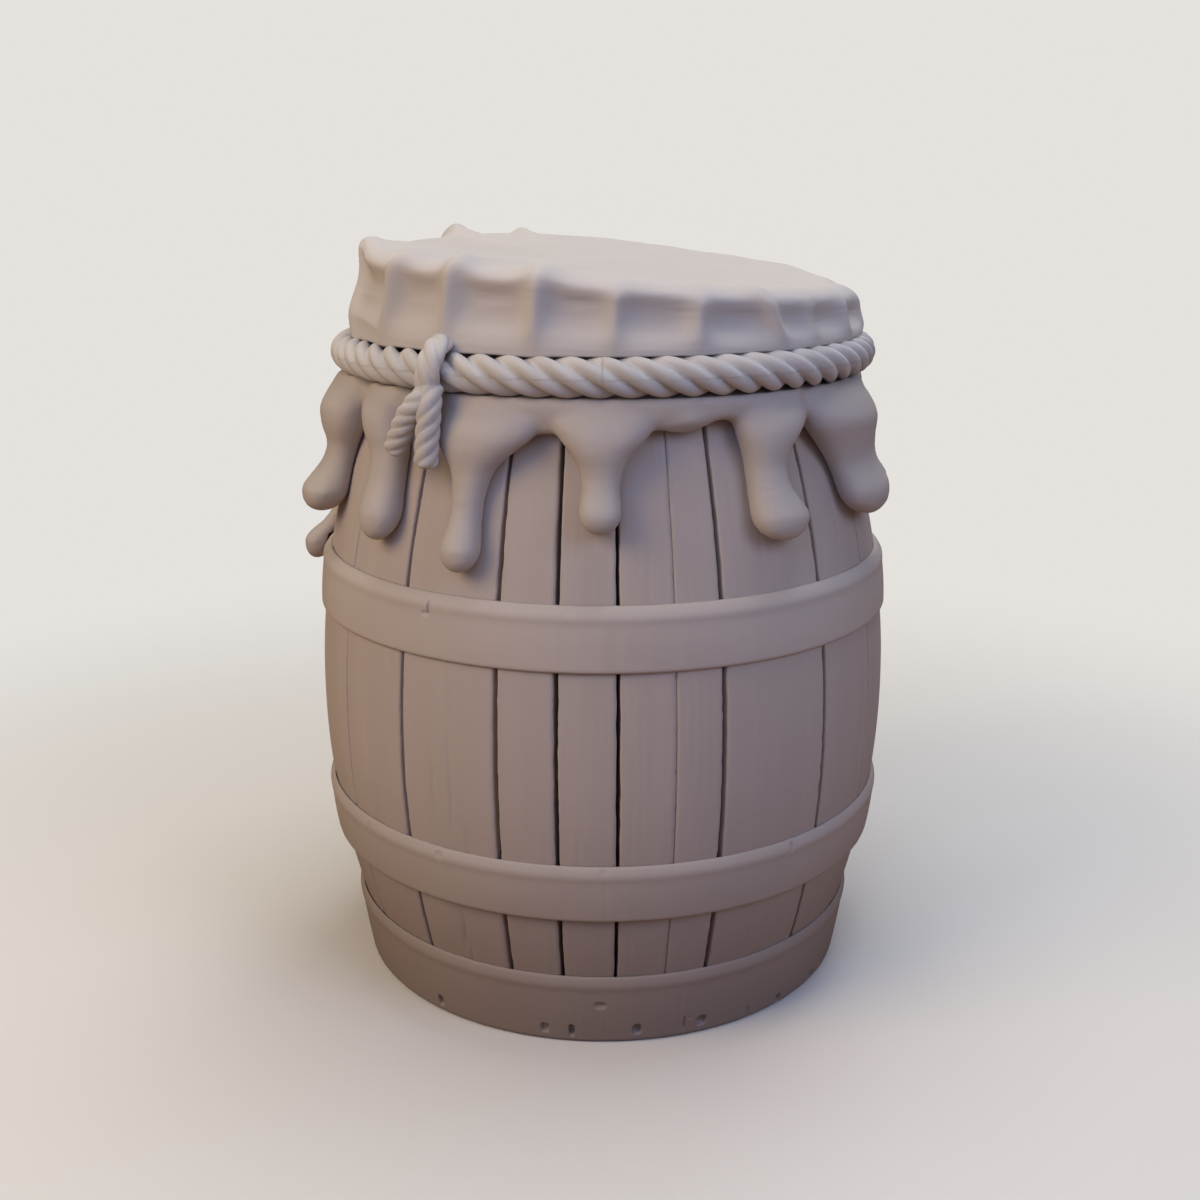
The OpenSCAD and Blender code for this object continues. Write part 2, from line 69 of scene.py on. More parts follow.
class Finish:
    # One material; add() takes a node's type, its settings, and its sockets' values or wires
    def __init__(self, name):
        self.material = bpy.data.materials.new(name)
        self.material.use_nodes = True
        self.tree = self.material.node_tree
        self.shader = self.tree.nodes["Principled BSDF"]

    def add(self, kind, settings, sockets, output=0):
        node = self.tree.nodes.new(kind)
        for key, value in settings.items():
            setattr(node, key, value)
        pairs = sockets.items() if isinstance(sockets, dict) else enumerate(sockets)
        for key, value in pairs:
            self.feed(node.inputs[key], value)
        return Wire(self, node.outputs[output])

    def feed(self, socket, value):
        # A wire is linked, and anything else becomes the socket's own value
        if isinstance(value, Wire):
            self.tree.links.new(value.socket, socket)
        else:
            socket.default_value = value

    def put(self, **sockets):
        # Sockets of the main shader, with spaces written as underscores
        for key, value in sockets.items():
            self.feed(self.shader.inputs[key.replace("_", " ")], value)

    def noise(self, vector, scale, detail, rough):
        return self.add("ShaderNodeTexNoise", {}, {"Vector": vector, "Scale": scale,
                        "Detail": detail, "Roughness": rough})

    def mix(self, factor, first, second):
        # Sockets 0, 6 and 7 are the factor and the two colours, and output 2 the mixed colour
        return self.add("ShaderNodeMix", {"data_type": "RGBA"},
                        {0: factor, 6: first, 7: second}, 2)

    def place(self):
        # Object coordinates are output 3 of their node
        return self.add("ShaderNodeTexCoord", {}, {}, 3)

    def stretched(self, vector, scale):
        return self.add("ShaderNodeMapping", {"vector_type": "POINT"}, {0: vector, 3: scale})


def linear(red, green, blue, share=1):
    # A screen colour from 0 to 255, times share, with the screen's curve undone
    def one(c):
        c = c * share / 255
        return c / 12.92 if c < 0.04045 else ((c + 0.055) / 1.055) ** 2.4
    return (one(red), one(green), one(blue), 1)


# Clay-like finishes: colour, roughness, streaks per metre across and along, how much they
#  tell in the colour and in the bump, whether they follow the piece's own UV, and how much
#  painted shade darkens them towards the foot
finishes = {
    "staveWood": ((181, 168, 162), 0.78, (60, 3.5), 0.035, 0.05, True, 0.62),
    "boardWood": ((164, 149, 138), 0.8, (60, 3.5), 0.12, 0.14, False, 0),
    "hoopIron": ((188, 176, 170), 0.7, (8, 22), 0.05, 0.07, True, 0.68),
    "nailIron": ((120, 111, 106), 0.6, (30, 30), 0.1, 0.06, False, 0),
    "sealWax": ((182, 172, 167), 0.62, (40, 14), 0.04, 0.1, False, 0),
    "coverCloth": ((192, 184, 180), 0.85, (30, 30), 0.03, 0.1, False, 0),
    "ropeHemp": ((196, 190, 187), 0.82, (150, 12), 0.08, 0.24, True, 0),
}
# Painted shade, darker towards the foot where less light falls, reaches up to this height in
# metres
paintedFootShade = {"colour": (120, 102, 94), "top": 0.18}
# Each noise has its scale per metre, detail and roughness; streaks scale with the grain
mottling = {"streaks": (1.0, 5, 0.6), "broad": (9.0, 3, 0.5), "fine": (95.0, 4, 0.62),
            "shares": (0.6, 0.4), "darker": 2.2, "paler": 1.2, "roughSwing": 0.2,
            "bump": 3, "bumpHeight": 0.001, "shine": 0.35}


def makeFinish(name, colour, rough, grain, tone, relief, own, footShadeShare):
    # Colour runs from dark to pale with a share of the streaks and one of the broad noise
    finish = Finish(name)
    place = finish.add("ShaderNodeUVMap", {}, {}) if own else finish.place()
    across, along = grain
    # Streaks: noise squeezed across the grain; mottling: broad soft noise
    streaks = finish.noise(finish.stretched(place, (across, along, across)),
                           *mottling["streaks"])
    broad = finish.noise(place, *mottling["broad"])
    fine = finish.noise(place, *mottling["fine"])
    streakShare, otherShare = mottling["shares"]
    shade = streaks * streakShare + broad * otherShare
    dark = linear(*colour, 1 - mottling["darker"] * tone)
    pale = linear(*colour, 1 + mottling["paler"] * tone)
    colouring = finish.mix(shade, dark, pale)
    if footShadeShare:
        # Painted shade: the colour darkens towards the foot, standing in for the light falling
        # off low down
        height = finish.add("ShaderNodeSeparateXYZ", {}, [finish.place()], 2)
        low = finish.add("ShaderNodeMapRange", {"interpolation_type": "SMOOTHSTEP"},
                         [height, 0.0, paintedFootShade["top"], 1.0, 0.0])
        colouring = finish.mix(low * footShadeShare, colouring, linear(*paintedFootShade["colour"]))
    finish.put(Base_Color=colouring, Roughness=rough + (broad - 0.5) * mottling["roughSwing"])
    bump = finish.add("ShaderNodeBump", {}, {
        "Strength": relief * mottling["bump"], "Distance": mottling["bumpHeight"],
        "Height": streaks * streakShare + fine * otherShare})
    finish.put(Normal=bump, Specular_IOR_Level=mottling["shine"])
    return finish.material


material = {name: makeFinish(name, *values) for name, values in finishes.items()}
print("finishes made")


# ---- shared shapes
keg = {"bellyRadius": 183, "bellyHeight": 183, "bowRadius": 510, "length": 418, "thickness": 15,
       "chimeHeight": 43, "footRadius": 155.5, "hoopFit": 0.3}


def bowAt(z):
    # Belly radius less the fall of a circle of the bow's radius at height z
    drop = z - keg["bellyHeight"]
    return keg["bellyRadius"] - keg["bowRadius"] + np.sqrt(keg["bowRadius"] ** 2 - drop ** 2)


def staveAt(z):
    # Straight from the foot up to the chime, and the bow above it
    z = np.asarray(z, float)
    chime = keg["chimeHeight"]
    foot = keg["footRadius"] + (bowAt(chime) - keg["footRadius"]) * z / chime
    return np.where(z < chime, foot, bowAt(z))


def around(angle, radius, height):
    # x = r sin a, y = -r cos a, with a counted from the front towards +X
    a, radius, height = np.broadcast_arrays(np.radians(angle), radius, height)
    return np.stack([radius * np.sin(a), -radius * np.cos(a), height], -1)


def turnFrom(angle, place):
    # Degrees from place to angle, the short way round, from -180 to 180
    return (angle - place + 180) % 360 - 180


def gridFaces(rows, columns, ringRows=False, ringColumns=False):
    # Every cell of the grid as one four-sided face, wrapped where the grid is a ring
    r = np.arange(rows if ringRows else rows - 1)
    c = np.arange(columns if ringColumns else columns - 1)
    r, c = np.meshgrid(r, c, indexing="ij")
    down, right = (r + 1) % rows, (c + 1) % columns
    return np.stack([r * columns + c, r * columns + right, down * columns + right,
                     down * columns + c], -1).reshape(-1, 4)


def tubeFaces(rows, columns):
    # A grid whose rows are rings, closed by one flat face at its first row and one at its last
    faces = gridFaces(rows, columns, ringColumns=True).tolist()
    faces.append(list(range(columns))[::-1])
    faces.append(list(range((rows - 1) * columns, rows * columns)))
    return faces


def makePiece(name, points, faces, finish, body, replaced, uv=None):
    # Points in millimetres, faces as lists of indices, uv one pair for each point
    mesh = bpy.data.meshes.new(name)
    mesh.from_pydata((np.asarray(points).reshape(-1, 3) * mm).tolist(), [],
                     [list(map(int, face)) for face in faces])
    mesh.polygons.foreach_set("use_smooth", [True] * len(mesh.polygons))
    if uv is not None:
        layer = mesh.uv_layers.new(name="UVMap")
        corner = np.empty(len(mesh.loops), int)
        mesh.loops.foreach_get("vertex_index", corner)
        layer.data.foreach_set("uv", np.asarray(uv, float).reshape(-1, 2)[corner].ravel())
    mesh.update()
    piece = bpy.data.objects.new(name, mesh)
    bpy.context.scene.collection.objects.link(piece)
    mesh.materials.append(material[finish])
    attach(piece, body)
    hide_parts(*replaced)
    return piece


def waves(x, z, seed, count, across, along):
    # A sum of sines across x whose phases drift slowly with z, about one high in all
    draw = np.random.default_rng(seed)
    total = 0
    for _ in range(count):
        pitch, drift = across * draw.uniform(0.5, 1.6), along * draw.uniform(0.5, 1.5)
        phase, turn, swing = draw.uniform(0, 6.28, 3)
        total = total + np.sin(x * pitch + phase + 2 * swing * np.sin(z * drift + turn)) / count
    return total


def softRidge(distance, width):
    # A bell: e to the minus square of distance over width
    return np.exp(-(distance / width) ** 2)


# ---- staves: a bowed block with soft arrises, long grain and a few cracks
staves = {"shares": [61, 65, 35, 35, 33, 28.5, 75, 58, 48, 61, 54,
                     45, 64, 51, 57, 48, 61, 54, 51, 64, 45, 57],
          "firstSeam": -58.7, "gapAngle": 0.25, "innerGap": 0.02, "arris": (1.5, 2.9),
          "arrisFall": (0.7, 0.25), "rowStep": 2.0, "columnStep": 1.15, "backColumns": 7,
          "croze": (26, 40.6), "crozeDepth": 5, "grain": 0.1, "longWave": 1.6, "chip": 0.9,
          "proud": (-0.35, 0.3), "tilt": 0.25, "crackDrift": 1.2,
          # How far each side of a seam stands back beyond the common gap, and its wandering
          "gapes": {0: 0.4, 1: 0.9, 2: 0.85, 3: 0.75, 4: 0.55, 5: -0.42, 6: 0.9, 7: 0.6,
                    8: 0.25},
          "otherGape": 0.3, "wobble": 0.35,
          # One seam is shut and its groove is deeper; shares of the depth where a seam closes
          "shutSeam": 5, "shutGroove": 0.2, "sideDepths": (0.62, 0.9),
          # Cracks: angle, middle height, half length, width and depth
          "cracks": [
              (-32.3, 166, 30, 0.9, 0.9), (-28.6, 168, 36, 0.9, 1.1), (-28.2, 219, 22, 0.8, 0.6),
              (-32.4, 216, 16, 0.7, 0.5), (-28.9, 70, 17, 1.2, 1.2), (-28.1, 54, 12, 1.0, 1.0),
              (-25.5, 130, 20, 0.8, 0.4), (30.5, 62, 14, 0.8, 0.6), (34.5, 70, 12, 0.8, 0.5),
              (37.4, 58, 10, 0.7, 0.5), (54, 300, 60, 0.9, 0.5), (60.4, 150, 55, 0.9, 0.5),
              (66, 170, 40, 0.8, 0.5), (51.5, 70, 16, 0.8, 0.6), (-62.5, 320, 40, 0.8, 0.5),
              (-30.9, 316, 34, 0.9, 0.6), (-4.5, 120, 28, 0.7, 0.3), (8.4, 292, 26, 0.8, 0.35),
              (70, 210, 50, 0.8, 0.4), (112, 200, 60, 0.9, 0.5), (148, 160, 44, 0.9, 0.5),
              (171, 220, 50, 0.8, 0.5), (203, 150, 60, 0.9, 0.5), (232, 210, 40, 0.8, 0.5),
              (262, 180, 48, 0.9, 0.5)]}


def staveGrid(number, left, right):
    # Rows go up the stave; columns go once round its section: face, side, inside, side
    middle, half = (left + right) / 2, (right - left) / 2
    low, high = staves["croze"]
    z = np.unique(np.concatenate([np.arange(0, keg["length"], staves["rowStep"]),
                                  [keg["length"], low - .01, low + .01, high - .01, high + .01]]))
    outside = staveAt(z)
    arc = math.radians(half) * keg["bellyRadius"]
    # The left arris is narrow and the right one wide, as the plane left them
    rimL, rimR = staves["arris"]
    shutL, shutR = [seam == staves["shutSeam"] for seam in (number - 1, number)]
    fallBase, fallShare = staves["arrisFall"]
    fromEdge = np.array([0, 0.06, 0.2, 0.42, 0.7, 1.0])
    inner = np.linspace(-arc + rimL, arc - rimR,
                        max(4, int((2 * arc - rimL - rimR) / staves["columnStep"])))
    x = np.concatenate([fromEdge[:-1] * rimL - arc, inner, (arc - fromEdge[:-1] * rimR)[::-1]])
    rim = np.where(x < 0, rimL, rimR)
    edge = np.clip((rim - (arc - np.abs(x))) / rim, 0, 1)
    # An arris falls by a quarter circle, and a little more at the shut seam
    fall = (fallBase + fallShare * rim) * (1 - np.sqrt(1 - edge ** 2)) * np.where(
        x < 0, 1 + staves["shutGroove"] * shutL, 1 + staves["shutGroove"] * shutR)
    X, Z = np.meshgrid(x, z)
    face = waves(X, Z, number, 5, 0.9, 0.012) * staves["grain"]
    face = face + waves(X, Z, number + 40, 3, 0.12, 0.006) * staves["grain"] * staves["longWave"]
    for place, height, length, width, depth in staves["cracks"]:
        gap = turnFrom(place, middle)
        if abs(gap) < half:
            centre = math.radians(gap) * keg["bellyRadius"]
            drift = waves(Z * 0, Z, int(height), 2, 1, 0.03) * staves["crackDrift"]
            along = np.clip(1 - ((Z - height) / length) ** 2, 0, 1)
            face = face - depth * softRidge(X - centre - drift, width) * along
    # Each stave stands a little in or out, and leans a little to one side
    draw = np.random.default_rng(number + 7)
    proud = draw.uniform(*staves["proud"])
    tilt = draw.uniform(-staves["tilt"], staves["tilt"])
    quiet = 1 - edge ** 4
    # Chips break the arrises here and there
    chipL, chipR = [np.clip(waves(z * 0, z, number * 5 + which, 5, 1, 0.11) * 3 - 0.75, 0, 1)
                    for which in (1, 2)]
    chip = np.where(X < 0, chipL[:, None], chipR[:, None]) * edge ** 2
    R = outside[:, None] - fall - staves["chip"] * chip + face * quiet + proud + tilt * X / arc
    # The edges wander a little, and a gaping seam is wider by its own amount
    wanderLeft, wanderRight = [
        staves["gapes"].get(seam, staves["otherGape"]) + (0 if shut else staves["wobble"])
        * (0.5 + waves(z * 0, z, seam * 2 + which, 4, 1, 0.045))
        for seam, which, shut in ((number - 1, 0, shutL), (number, 1, shutR))]
    side = np.where(X < 0, wanderLeft[:, None], -wanderRight[:, None]) * np.abs(X / arc) ** 6
    A = middle + np.degrees((X + side) / keg["bellyRadius"])
    inside = outside - keg["thickness"] + staves["crozeDepth"] * ((z > low) & (z < high))
    # Near the inside the neighbours close up, so that no light comes through a seam
    rightEdge, leftEdge = A[:, -1:], A[:, :1]
    reach = half + (staves["gapAngle"] - staves["innerGap"]) / 2
    rightInner, leftInner = [np.full_like(leftEdge, middle + way * reach) for way in (1, -1)]
    depth = np.array(staves["sideDepths"])
    sideR = R[:, -1:] + (inside[:, None] - R[:, -1:]) * depth
    sideL = (R[:, :1] + (inside[:, None] - R[:, :1]) * depth)[:, ::-1]
    backs = staves["backColumns"]
    backA = rightInner + (leftInner - rightInner) * np.linspace(0, 1, backs)
    angles = np.concatenate([A, rightEdge, rightInner, backA, leftInner, leftEdge], 1)
    radii = np.concatenate([R, sideR, np.repeat(inside[:, None], backs, 1), sideL], 1)
    heights = np.repeat(z[:, None], angles.shape[1], 1)
    points = around(angles, radii, heights)
    # Each stave takes its own place in the grain
    uv = np.stack([np.radians(angles) * keg["bellyRadius"] * mm + number * 0.37, heights * mm],
                  -1)
    return points, uv


seams = staves["firstSeam"] + 360 * np.concatenate([[0], np.cumsum(staves["shares"])]) / sum(
    staves["shares"])
for number in range(1, len(staves["shares"]) + 1):
    points, uv = staveGrid(number, seams[number - 1] + staves["gapAngle"] / 2,
                           seams[number] - staves["gapAngle"] / 2)
    makePiece(f"stave{number:02d}", points, tubeFaces(*points.shape[:2]), "staveWood", "keg",
              [f"stave_{number:02d}"], uv)
print("staves made")


# ---- hoops: a bowed band with one fat rounded edge, worn and dented
hoops = {
    "wide": 2.6, "narrow": 4.2, "edge": 7.5, "foot": 2.2, "lip": 0.6, "lipWidth": 3.4,
    "crown": 0.5, "edgeWave": 0.12, "wave": 0.1, "edgeWear": 0.35, "least": 0.25,
    "lapLength": 46, "lapThickness": 1.2, "lapStep": 0.24, "nickReach": 2.4, "nickStep": 0.14,
    "columnStep": 0.5, "rowStep": 1.05,
    # Nicks: angle, height, half width, half height, depth
    "bands": {
        "bottomHoop": {"node": "bottom_hoop", "low": 0, "height": 47.5,
                       "thickUp": False, "nicks": [
            (-38.5, 8.6, 2.1, 3.8, 3.6), (-12.5, 9.1, 2.6, 3.4, 2.2), (-6.7, 8.6, 2.0, 4.1, 3.9),
            (7.2, 9.3, 2.9, 3.6, 3.4), (21.6, 9.3, 3.4, 3.4, 3.2), (43.1, 4.6, 2.3, 3.1, 3.4),
            (56.7, 4.4, 2.3, 3.0, 3.0), (-0.6, 27.8, 3.8, 2.2, 1.3), (33.5, 5.5, 1.5, 4.5, 0.9),
            (17.6, 10.2, 0.9, 5.0, 1.0), (18.8, 13.2, 1.6, 0.7, 0.4), (96, 7, 2, 3, 2.6),
            (141, 8, 2, 3.2, 2.4), (205, 6, 2.2, 3, 2.6), (258, 8, 1.8, 3, 2.4)]},
        "lowerMiddleHoop": {"node": "lower_middle_hoop", "low": 89.5, "height": 36.6,
                            "thickUp": False, "nicks": [
            (-51.7, 120.5, 0.9, 3.5, 1.0), (-31.7, 121.5, 3.2, 2.2, 0.8),
            (0, 123.5, 2.2, 1.6, 0.6), (37.6, 121.5, 1.4, 3.2, 1.1), (120, 121, 2, 2.5, 0.6),
            (222, 120, 1.5, 3, 0.6)]},
        "upperMiddleHoop": {"node": "upper_middle_hoop", "low": 240.8, "height": 37.2,
                            "thickUp": True, "nicks": [
            (-32.7, 269.6, 1.2, 4.0, 1.2), (-33.3, 266.6, 3.0, 1.4, 0.9), (-6, 275, 4, 1.6, 0.5),
            (160, 268, 2.6, 2.4, 0.9), (250, 262, 2.2, 3, 0.8)]},
        "topHoop": {"node": "top_hoop", "low": 384, "height": 30, "thickUp": True, "nicks": []}}}


def bandGrid(values, seed):
    # Rows go round the keg, with more of them at nicks and laps; columns go down the outside
    # and up the inside. Radius: the staves', the thickness, a fat upper lip and a soft crown
    low, tall = values["low"], values["height"]
    high = low + tall
    t0, t1 = (hoops["wide"], hoops["narrow"]) if values["thickUp"] else (hoops["narrow"],
                                                                         hoops["wide"])
    base = np.arange(0, 360, hoops["columnStep"])
    near = [np.arange(n[0] - hoops["nickReach"], n[0] + hoops["nickReach"], hoops["nickStep"])
            for n in values["nicks"]]
    lapHalf = math.degrees(hoops["lapLength"] / 2 / float(staveAt(low)))
    lap = [side * lapHalf + 180 + np.array([-0.3, -0.12, 0, 0.12, 0.3]) for side in (-1, 1)]
    angle = np.unique(np.round(np.concatenate([base] + near + lap) % 360, 3))
    # Outside from the fat upper edge down to the sharper lower one, then back up inside
    curl = np.linspace(0, math.pi / 2, 9)
    upperOut, upperDown = np.sin(curl), (1 - np.cos(curl)) * hoops["edge"]
    lowerOut, lowerUp = upperOut[::-1][1:], ((1 - np.cos(curl)) * hoops["foot"])[::-1][1:]
    flat = np.linspace(high - hoops["edge"], low + hoops["foot"],
                       int(tall / hoops["rowStep"]))[1:-1]
    z = np.concatenate([high - upperDown, flat, low + lowerUp])
    out = np.concatenate([upperOut, np.ones(len(flat)), lowerOut])
    thick = t0 + (t1 - t0) * (z - low) / tall
    crown = hoops["crown"] * np.sin(math.pi * (z - low) / tall)
    lip = hoops["lip"] * softRidge(z - (high - hoops["edge"] * 0.8), hoops["lipWidth"])
    inZ = np.linspace(low, high, 6)[:-1]
    A, Z = np.meshgrid(angle, z, indexing="ij")
    # Waves of cos a and sin a meet themselves after a whole turn
    cosA, sinA = np.cos(np.radians(A)), np.sin(np.radians(A))
    wave = waves(cosA * 5, sinA * 400, seed, 5, 1, 0.02)
    edgeWave = waves(cosA * 30, sinA * 900, seed + 3, 5, 1, 0.02)
    rise = np.clip((Z - low) / tall, 0, 1)
    lapped = np.clip((lapHalf - np.abs(turnFrom(A, 180))) / hoops["lapStep"] + 0.5, 0, 1)
    R = staveAt(Z) + keg["hoopFit"] + (thick + lapped * hoops["lapThickness"] + lip) * out
    R = R + crown * out + (hoops["edgeWave"] * edgeWave + hoops["wave"] * wave) * out
    # A nick is a steep bowl with a flat floor
    for place, height, halfWide, halfTall, depth in values["nicks"]:
        across = np.radians(turnFrom(A, place)) * staveAt(height)
        cut = ((across / halfWide) ** 2) ** 1.5 + (((Z - height) / halfTall) ** 2) ** 1.5
        R = R - depth * np.clip(1.25 * (1 - cut), 0, 1) ** 0.8 * out
    R = np.maximum(R, staveAt(Z) + keg["hoopFit"] + hoops["least"] * out)
    Z = Z - hoops["edgeWear"] * (0.5 + 0.5 * edgeWave) * rise ** 6
    inA, inH = np.meshgrid(angle, inZ, indexing="ij")
    inR = staveAt(inH) + keg["hoopFit"]
    angles = np.concatenate([A, inA], 1)
    heights = np.concatenate([Z, inH], 1)
    points = around(angles, np.concatenate([R, inR], 1), heights)
    uv = np.stack([np.radians(angles) * keg["bellyRadius"] * mm, heights * mm], -1)
    return points, uv


for seed, (name, values) in enumerate(hoops["bands"].items()):
    points, uv = bandGrid(values, seed + 11)
    faces = gridFaces(*points.shape[:2], ringRows=True, ringColumns=True)[:, ::-1]
    makePiece(name, points, faces, "hoopIron", "keg", [values["node"]], uv)
print("hoops made")


# ---- wax: a collar and its runs, melted into one skin
wax = {"voxel": 1.7, "smooth": 12, "swell": 0.6, "gap": 0.3, "around": 40, "squareness": 0.86,
       "bodyRows": 26, "tipRows": 9, "sunk": 1.0, "bend": 175, "hand": 0.18,
       "collarStep": 0.75, "thinner": (0.88, 0.06),
       # The collar's lower edge: what is below this height, over this blend, waves this far
       "edgeTop": 376, "edgeBlend": 6, "edgeWave": 1.2,
       # The upper middle hoop as the wax meets it: from, to, stand-off and blend
       "hoopFrom": 236, "hoopTo": 279.5, "hoopOver": 0.9, "hoopBlend": 3,
       # The rope above: its middle's radius and height, its reach and the least height
       "rope": (158.5, 398.5), "ropeReach": 11.3, "ropeGap": 0.2, "ropeFrom": 380,
       "collarPlaces": [(0.6, 374), (0.6, 384), (8, 387.5), (14, 389.5), (20, 389),
                        (22, 384), (19, 378), (15, 372.5), (10, 369), (4, 369)],
       # Where the lower edge is drawn up or hangs lower: angle, half width in degrees, rise
       "edges": [(-61.3, 3.2, 6), (-13, 7, -1.5), (9, 5, 1.5), (24, 4.5, 5.5), (17, 4, -1),
                 (47, 4, -3), (112, 8, 3), (146, 8, 2), (184, 9, 4), (221, 8, 2), (255, 8, 3)],
       # Where the collar is thin: angle, half width in degrees, share taken off
       "thins": [(-61.3, 3.4, 0.72), (-42.5, 3, 0.35), (47, 3, 0.3), (112, 6, 0.3), (184, 7, 0.3),
                 (255, 6, 0.3)],
       # Each run: its lowest point, then rows of height, angle, half width and thickness
       "runs": {
           "leftTear": (258.5, [
               (386, -93, 16, 12), (366, -93, 13, 14), (345, -93, 6.5, 9), (315, -93, 5, 6),
               (300, -93, 4.5, 4.5), (291, -93, 5.5, 6.5), (282, -93, 9, 12),
               (273, -93, 12.6, 15.5)]),
           "farLeft": (303.8, [
               (386, -77, 31, 24), (378, -77, 31, 26), (366, -76.5, 30, 28),
               (355, -76, 25.5, 23.5), (344, -76, 19.5, 17), (336, -76, 18, 16.5),
               (318, -74.4, 20.5, 26)]),
           "farLeftLobe": (371, [
               (386, -62.5, 10, 13), (380, -62.5, 9.5, 13)]),
           "left": (302, [
               (386, -53, 16, 20), (377, -52.6, 17, 23), (364, -50.8, 15.5, 22),
               (351, -48.9, 13.4, 17), (338, -47.8, 12, 15.5), (318.5, -46.9, 13, 19)]),
           "knotRun": (293, [
               (386, -24.5, 28, 17), (376, -24.5, 33, 22), (366, -24.6, 29.5, 23),
               (357, -25.3, 20.5, 21), (348, -25.8, 12.8, 17.5), (338, -26, 9.2, 15.5),
               (325, -26.1, 8.2, 14.5), (306, -26.2, 10.5, 18.5)]),
           "middle": (317, [
               (386, 0, 30, 17), (376, 0, 30, 21), (366, -0.1, 23, 22), (358, -0.4, 15.6, 20),
               (350, -0.4, 11.4, 16.5), (341, -0.5, 10, 15.5), (328.5, -0.6, 11.2, 18.5)]),
           "lobe": (370.8, [
               (386, 17, 21, 17), (377.5, 17, 16, 19)]),
           "right": (307.6, [
               (386, 37.5, 24, 17), (377, 37, 25.5, 22), (367, 35.4, 21.5, 23),
               (358, 34, 15.4, 20.5), (349, 33.2, 11.9, 17.5), (340, 33.1, 12, 17),
               (321.5, 34.5, 17.6, 20.5)]),
           "farRight": (308.5, [
               (386, 59, 39, 24), (377, 60, 42, 27), (366, 61, 41, 28), (354, 62.3, 35, 22.5),
               (342, 63.6, 30, 18.5), (325, 64.6, 29.5, 22)]),
           "back1": (303, [
               (386, 97, 28, 17), (374, 97, 27, 22), (363, 97.2, 18, 20), (348, 97.6, 12, 16),
               (330, 97.8, 11.5, 16.5), (314, 98, 15, 23)]),
           "back2": (322, [
               (386, 128, 24, 17), (374, 128, 22, 20), (364, 127.8, 14.5, 18),
               (350, 127.3, 10.5, 15), (334, 127, 12.5, 17)]),
           "back3": (298.5, [
               (386, 163, 31, 17), (374, 163, 29, 22), (363, 163.2, 20, 20),
               (348, 163.8, 13.5, 16), (328, 164.5, 12.5, 15.5), (310, 165, 14.6, 19)]),
           "back4": (313.5, [
               (386, 203, 26, 17), (374, 203, 24, 20), (364, 202.8, 16, 18), (351, 202, 11.2, 15),
               (338, 201.6, 11, 15.5), (325, 201, 13.8, 18)]),
           "back5": (304, [
               (386, 238, 30, 17), (374, 238, 28, 22), (363, 238.2, 19, 20), (348, 238.5, 13, 16),
               (331, 238.9, 12.5, 16), (316, 239, 16, 20)])}}


def waxBed(z):
    # What the wax lies on: the staves, and the hoop's lip where a run hangs over it
    lip = staveAt(z) + keg["hoopFit"] + hoops["narrow"] + wax["hoopOver"]
    near = (np.clip((wax["hoopTo"] - z) / wax["hoopBlend"], 0, 1)
            * np.clip((z - wax["hoopFrom"]) / wax["hoopBlend"], 0, 1))
    return staveAt(z) + (lip - staveAt(z)) * near


def smoothRow(x, xs, ys):
    # Cubic through the rows whose slopes are the means of their neighbours' slopes
    xs, ys = np.asarray(xs, float), np.asarray(ys, float)
    slope = np.gradient(ys, xs)
    k = np.clip(np.searchsorted(xs, x) - 1, 0, len(xs) - 2)
    span = xs[k + 1] - xs[k]
    t = np.clip((x - xs[k]) / span, 0, 1)
    h00, h10 = 2 * t ** 3 - 3 * t ** 2 + 1, t ** 3 - 2 * t ** 2 + t
    h01, h11 = -2 * t ** 3 + 3 * t ** 2, t ** 3 - t ** 2
    return h00 * ys[k] + h10 * span * slope[k] + h01 * ys[k + 1] + h11 * span * slope[k + 1]


def runGrid(lowest, rows):
    # Rings go down the run; each is a rounded oval of the run's half width and thickness
    rows = np.array(rows)[::-1]
    tip = rows[0, 0]
    body = np.linspace(rows[-1, 0], tip, wax["bodyRows"])
    curve = np.linspace(0, math.pi / 2, wax["tipRows"])[1:-1]
    z = np.concatenate([body, tip - (tip - lowest) * np.sin(curve)])
    shrink = np.concatenate([np.ones(len(body)), np.cos(curve)])
    angle = smoothRow(np.maximum(z, tip), rows[:, 0], rows[:, 1])
    half = smoothRow(np.maximum(z, tip), rows[:, 0], rows[:, 2]) * shrink
    thick = smoothRow(np.maximum(z, tip), rows[:, 0], rows[:, 3])
    f = np.linspace(0, 2 * math.pi, wax["around"], endpoint=False)
    power = wax["squareness"]
    across = np.sign(np.sin(f)) * np.abs(np.sin(f)) ** power
    out = np.sign(np.cos(f)) * np.abs(np.cos(f)) ** power
    bed = waxBed(z)
    centre = bed + thick * 0.5 - wax["sunk"]
    depth = (thick * 0.5 + wax["sunk"]) * shrink
    side = half[:, None] * across
    R = centre[:, None] + depth[:, None] * out
    # A wide run bends round the keg, so its width is laid along the arc
    A = angle[:, None] + np.degrees(side / np.minimum(R, wax["bend"]))
    top = around(angle[0], centre[0], z[0])
    end = around(angle[-1], centre[-1], lowest)
    points = np.concatenate([around(A, R, z[:, None] + 0 * A).reshape(-1, 3), [top, end]])
    n, m = len(z), len(f)
    faces = gridFaces(n, m, ringColumns=True)[:, ::-1].tolist()
    faces += [[n * m, k, (k + 1) % m] for k in range(m)]
    faces += [[n * m + 1, (n - 1) * m + (k + 1) % m, (n - 1) * m + k] for k in range(m)]
    return points, faces


